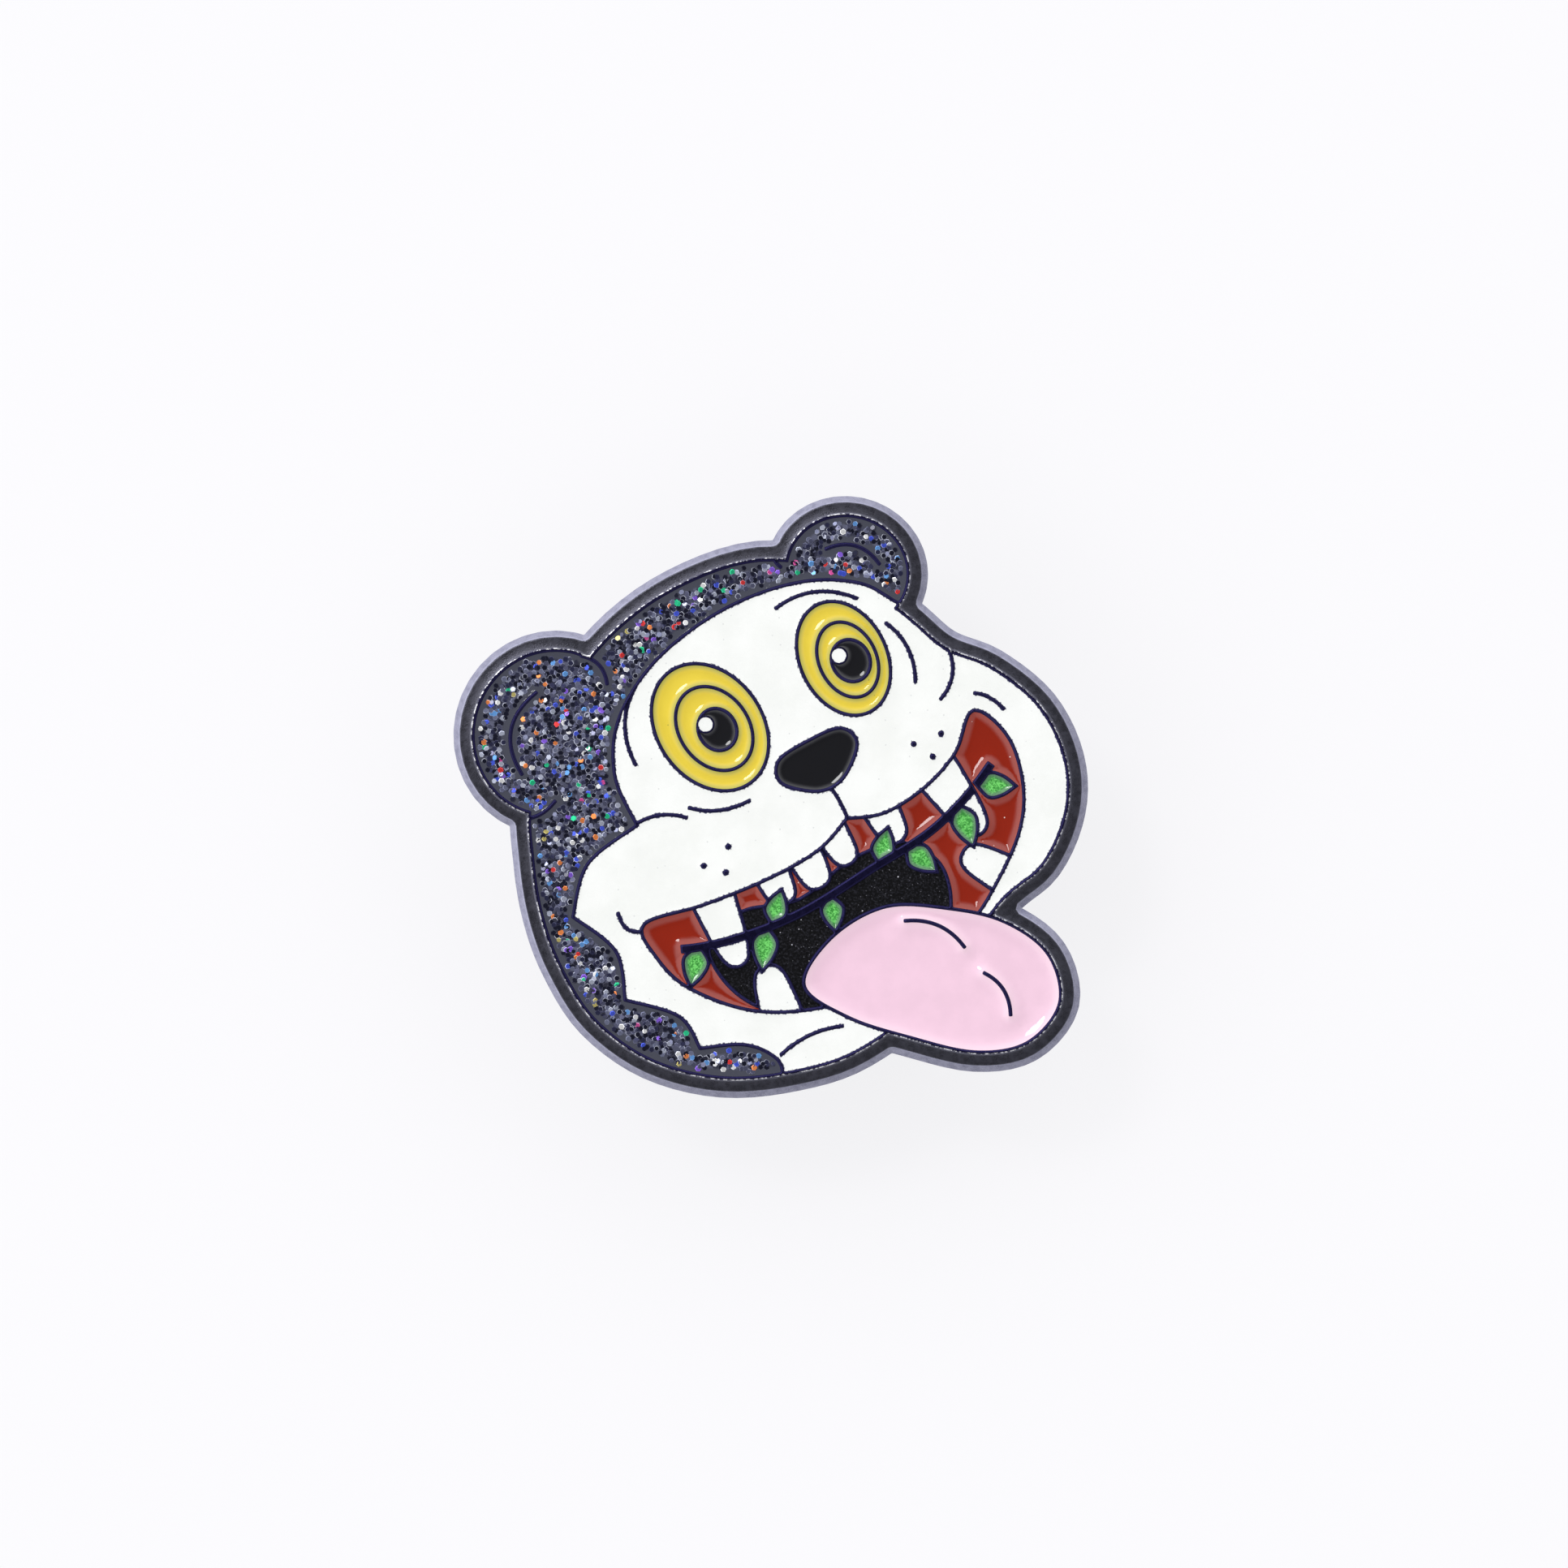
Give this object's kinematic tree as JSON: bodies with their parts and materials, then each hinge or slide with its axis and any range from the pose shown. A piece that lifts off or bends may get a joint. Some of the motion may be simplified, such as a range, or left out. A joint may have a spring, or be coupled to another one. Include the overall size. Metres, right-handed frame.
{
  "type": "enamel pin",
  "caption": "Cartoon bear cub enamel pin: dark metal plate with glitter, matte and glossy colour cells, soldered posts and butterfly clutches.",
  "frame": {"origin": "on the plate's flat back face, midway between the two posts", "axes": "+Z out of the picture face, +X to the wearer's left (the viewer's right), +Y up as worn"},
  "size_m": [0.0351, 0.0333, 0.0104],
  "materials": {
    "black_nickel": "black-nickel plated struck metal, satin",
    "glitter_enamel": "translucent blue-grey enamel full of dark and multicolour hexagonal glitter",
    "white_enamel": "flat matte white enamel, slightly warm",
    "yellow_enamel": "glossy yellow enamel, slightly sunk",
    "black_enamel": "glossy black enamel",
    "black_sand_enamel": "grainy black enamel with pale specks",
    "red_enamel": "glossy red-brown enamel with fine sparkle, sunk",
    "pink_enamel": "very glossy pale pink enamel",
    "green_glitter_enamel": "glossy green enamel with fine glitter",
    "post_steel": "plated steel",
    "solder": "bright tin solder",
    "clutch_nickel": "nickel-plated pressed sheet",
    "clutch_spring_steel": "nickel-plated spring steel"
  },
  "bodies": {
    "pin": {"base_plate": "black_nickel", "glitter_fur": "glitter_enamel", "white_face": "white_enamel", "white_upper_teeth": "white_enamel", "white_lower_teeth": "white_enamel", "white_catchlights": "white_enamel", "yellow_left_eye_outer": "yellow_enamel", "yellow_left_eye_inner": "yellow_enamel", "yellow_right_eye_outer": "yellow_enamel", "yellow_right_eye_inner": "yellow_enamel", "black_left_pupil": "black_enamel", "black_right_pupil": "black_enamel", "black_nose": "black_enamel", "black_throat": "black_sand_enamel", "red_mouth": "red_enamel", "pink_tongue": "pink_enamel", "green_left_leaves": "green_glitter_enamel", "green_right_leaves": "green_glitter_enamel", "post_left": "post_steel", "post_right": "post_steel", "solder_left": "solder", "solder_right": "solder"},
    "clutch_left": {"clutch_left_disc": "clutch_nickel", "clutch_left_housing": "clutch_nickel"},
    "clutch_left_wing_upper": {"clutch_left_wing_upper": "clutch_spring_steel"},
    "clutch_left_wing_lower": {"clutch_left_wing_lower": "clutch_spring_steel"},
    "clutch_right": {"clutch_right_disc": "clutch_nickel", "clutch_right_housing": "clutch_nickel"},
    "clutch_right_wing_upper": {"clutch_right_wing_upper": "clutch_spring_steel"},
    "clutch_right_wing_lower": {"clutch_right_wing_lower": "clutch_spring_steel"}
  },
  "joints": [
    {"name": "clutch_left_slide", "type": "slide", "parent": "pin", "child": "clutch_left", "axis": [0, 0, -1], "range_m": [0, 0.008]},
    {"name": "clutch_left_upper_wing_squeeze", "type": "hinge", "parent": "clutch_left", "child": "clutch_left_wing_upper", "pos_m": [-0.0085, 0.002, -0.0047], "axis": [-1, 0, 0], "range_deg": [0, 12], "stiffness_Nm_per_rad": 0.05},
    {"name": "clutch_left_lower_wing_squeeze", "type": "hinge", "parent": "clutch_left", "child": "clutch_left_wing_lower", "pos_m": [-0.0085, -0.002, -0.0047], "axis": [1, 0, 0], "range_deg": [0, 12]},
    {"name": "clutch_right_slide", "type": "slide", "parent": "pin", "child": "clutch_right", "axis": [0, 0, -1], "range_m": [0, 0.008]},
    {"name": "clutch_right_upper_wing_squeeze", "type": "hinge", "parent": "clutch_right", "child": "clutch_right_wing_upper", "pos_m": [0.0085, 0.002, -0.0047], "axis": [-1, 0, 0], "range_deg": [0, 12], "stiffness_Nm_per_rad": 0.05},
    {"name": "clutch_right_lower_wing_squeeze", "type": "hinge", "parent": "clutch_right", "child": "clutch_right_wing_lower", "pos_m": [0.0085, -0.002, -0.0047], "axis": [1, 0, 0], "range_deg": [0, 12]}
  ],
  "couplings": [
    {"joint": "clutch_left_lower_wing_squeeze", "follows": "clutch_left_upper_wing_squeeze", "ratio": 1},
    {"joint": "clutch_right_lower_wing_squeeze", "follows": "clutch_right_upper_wing_squeeze", "ratio": 1}
  ]
}
